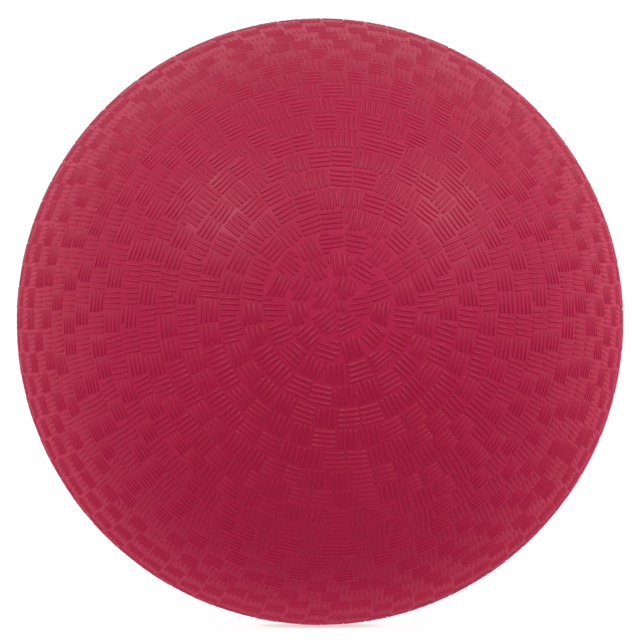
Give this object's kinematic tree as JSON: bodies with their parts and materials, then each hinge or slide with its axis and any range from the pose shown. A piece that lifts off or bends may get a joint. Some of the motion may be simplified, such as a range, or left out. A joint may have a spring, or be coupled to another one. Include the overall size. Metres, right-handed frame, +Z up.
{
  "type": "playground rubber ball",
  "caption": "Inflatable playground ball with a textured rubber cover, a thread-wound carcass, an air bladder and a self-sealing needle valve.",
  "frame": {"origin": "centre of the ball", "axes": "+Z up; the moulded texture's rings run around Y, with one moulding pole at -Y (front) and the other at +Y (back); the needle valve is at the +Y pole and its hole opens along +Y"},
  "size_m": [0.216, 0.216, 0.216],
  "materials": {
    "cover_rubber": "satin, moulded texture",
    "nylon_thread": "thread in latex",
    "butyl_rubber": "matt",
    "patch_rubber": "matt",
    "boot_rubber": "satin",
    "plug_rubber": "satin"
  },
  "bodies": {
    "root": {"outer_cover": "cover_rubber", "nylon_winding": "nylon_thread", "bladder": "butyl_rubber", "valve_patch": "patch_rubber", "valve_boot": "boot_rubber", "valve_plug": "plug_rubber"}
  },
  "joints": []
}
